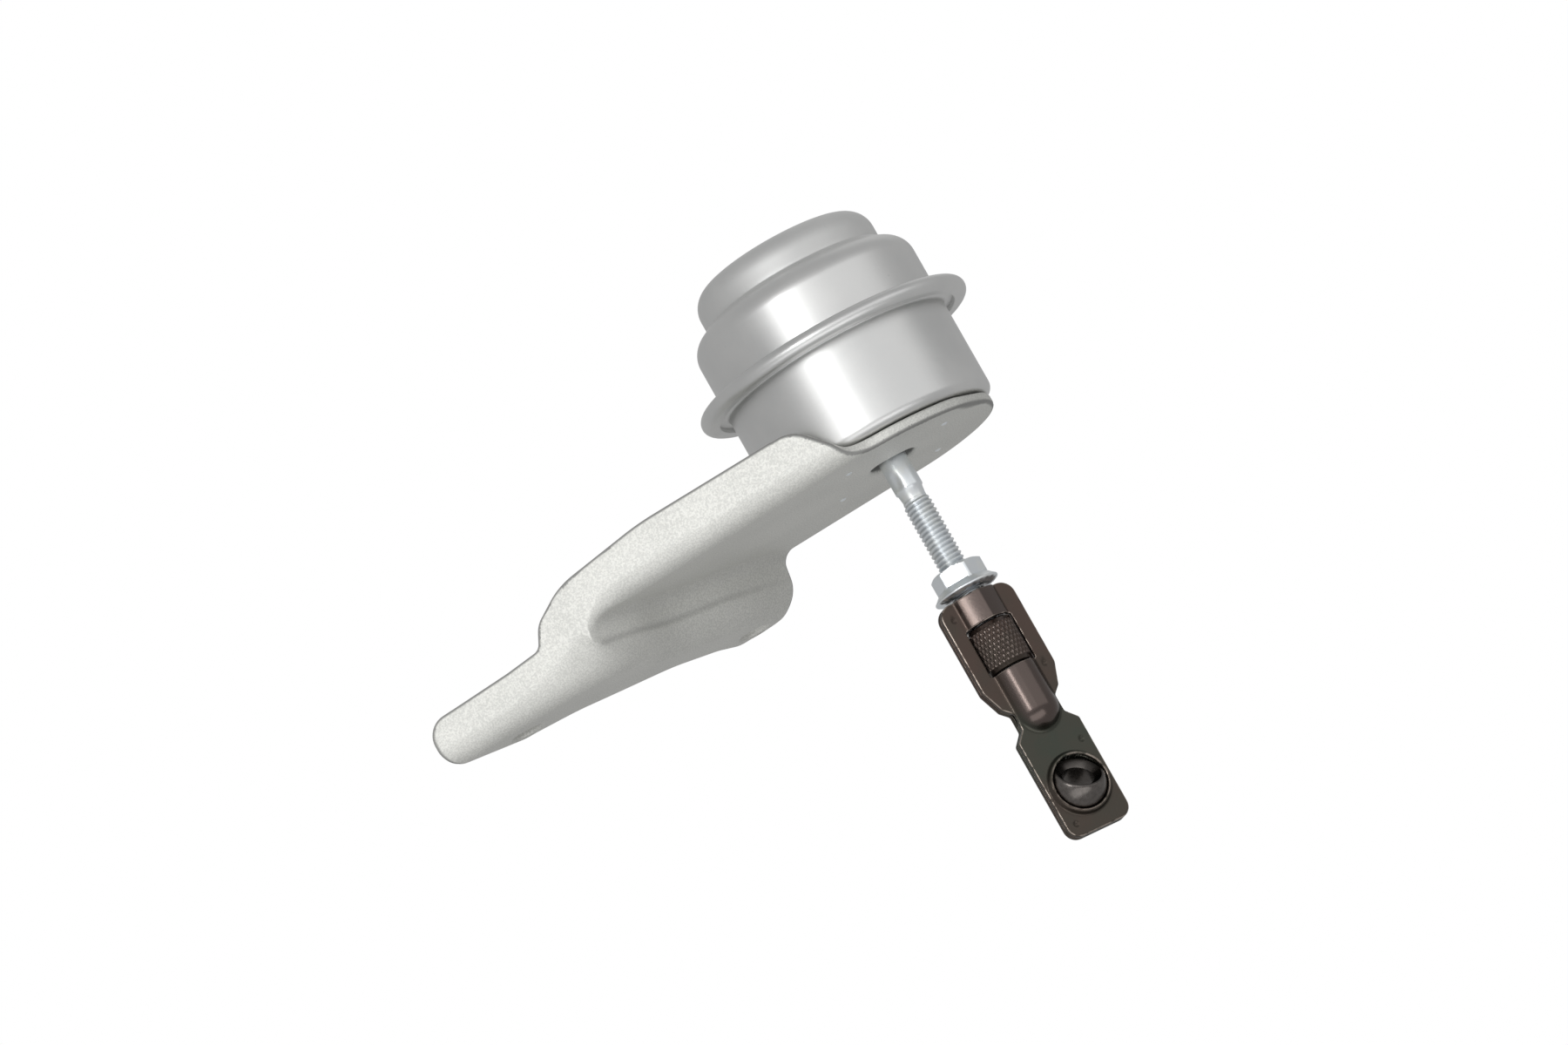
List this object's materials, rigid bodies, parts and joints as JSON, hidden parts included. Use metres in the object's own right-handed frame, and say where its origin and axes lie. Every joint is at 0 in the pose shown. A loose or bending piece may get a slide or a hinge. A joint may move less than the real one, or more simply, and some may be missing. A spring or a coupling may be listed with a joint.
{
  "type": "wastegate actuator",
  "caption": "Pressure-operated wastegate actuator: crimped diaphragm can on a stamped steel bracket, with a threaded rod, lock nut and adjustable rod end holding a swivel ball.",
  "frame": {"origin": "on the underside of the bracket's foot, between the two bolt holes, where the foot meets what it is bolted to", "axes": "+Z along the rod, from the rod end towards the can; the bracket's arm runs towards -X, its upturned wall is on the -Y side, and -Z is the foot's outward normal"},
  "size_m": [0.1343, 0.0706, 0.134],
  "materials": {
    "bracket_paint": "fine speckled silver-grey paint",
    "can_steel": "satin drawn steel",
    "pressed_steel": "plain pressed steel",
    "diaphragm_rubber": "matt rubber",
    "spring_steel": "oiled spring steel",
    "bush_polymer": "matt polymer",
    "bright_zinc": "bright zinc with a faint blue tint",
    "rod_end_bronze": "dark bronze-brown, half gloss, worn bright at the edges",
    "ball_steel": "dark polished steel"
  },
  "bodies": {
    "housing": {"bracket": "bracket_paint", "lower_can": "can_steel", "upper_can": "can_steel", "hose_nipple": "pressed_steel", "diaphragm": "diaphragm_rubber", "return_spring": "spring_steel", "spring_seat": "pressed_steel", "rod_bush": "bush_polymer"},
    "rod": {"actuator_rod": "bright_zinc", "piston_cup": "pressed_steel", "diaphragm_retainer": "pressed_steel"},
    "lock_nut": {"lock_nut": "bright_zinc"},
    "rod_end": {"rod_end_front": "rod_end_bronze", "rod_end_rear": "rod_end_bronze"},
    "adjuster": {"adjuster_nut": "rod_end_bronze"},
    "ball": {"swivel_ball": "ball_steel"}
  },
  "joints": [
    {"name": "rod_stroke", "type": "slide", "parent": "housing", "child": "rod", "axis": [0, 0, -1], "range_m": [0, 0.01], "stiffness_N_per_m": 6000, "springref_m": -0.008, "deforming": ["return_spring", "diaphragm"]},
    {"name": "lock_nut_travel", "type": "slide", "parent": "rod", "child": "lock_nut", "axis": [0, 0, 1], "range_m": [0, 0.012]},
    {"name": "rod_end_adjust", "type": "slide", "parent": "rod", "child": "rod_end", "axis": [0, 0, -1], "range_m": [0, 0.005]},
    {"name": "adjuster_turn", "type": "hinge", "parent": "rod_end", "child": "adjuster", "pos_m": [0.062, 0.008, -0.0322], "axis": [0, 0, -1], "range_deg": [0, 1800]},
    {"name": "ball_swivel", "type": "hinge", "parent": "rod_end", "child": "ball", "pos_m": [0.062, 0.008, -0.0641], "axis": [-0.7666, -0.5777, 0.2804], "range_deg": [-75, 0]}
  ],
  "couplings": [
    {"joint": "adjuster_turn", "follows": "rod_end_adjust", "rad_per_m": 6283.2}
  ]
}
